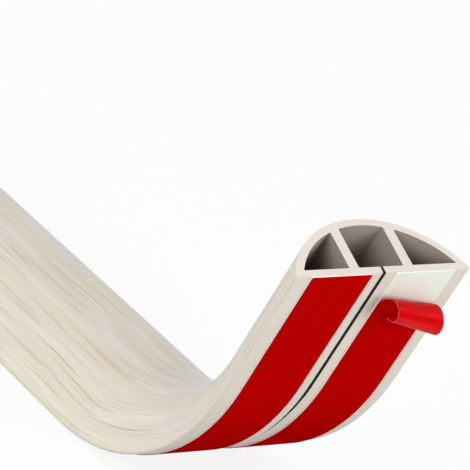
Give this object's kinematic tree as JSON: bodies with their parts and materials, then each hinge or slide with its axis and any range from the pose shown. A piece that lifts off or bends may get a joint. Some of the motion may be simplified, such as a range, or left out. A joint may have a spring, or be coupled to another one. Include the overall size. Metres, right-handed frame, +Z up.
{
  "type": "floor cable cover",
  "caption": "Flexible D-shaped floor cable cover with enclosed channels, a slit base and adhesive tapes, lying flat with one end curled up and a release liner peeled back.",
  "frame": {"origin": "on the floor, under the middle of the strip's overall box", "axes": "+X along the strip towards its lifted end, +Y across it towards the tape whose liner is peeled, +Z up"},
  "size_m": [0.942, 0.07, 0.1236],
  "materials": {
    "wood_grain_pvc": "flexible PVC, pale wood-grain print on the dome, bare cream inside and underneath",
    "adhesive_tape": "off-white double-sided tape, slightly shiny adhesive",
    "release_liner": "smooth red release film"
  },
  "bodies": {
    "root": {"cable_cover": "wood_grain_pvc", "adhesive_tape_left": "adhesive_tape", "adhesive_tape_right": "adhesive_tape", "release_liner_left": "release_liner", "release_liner_right": "release_liner"}
  },
  "joints": []
}
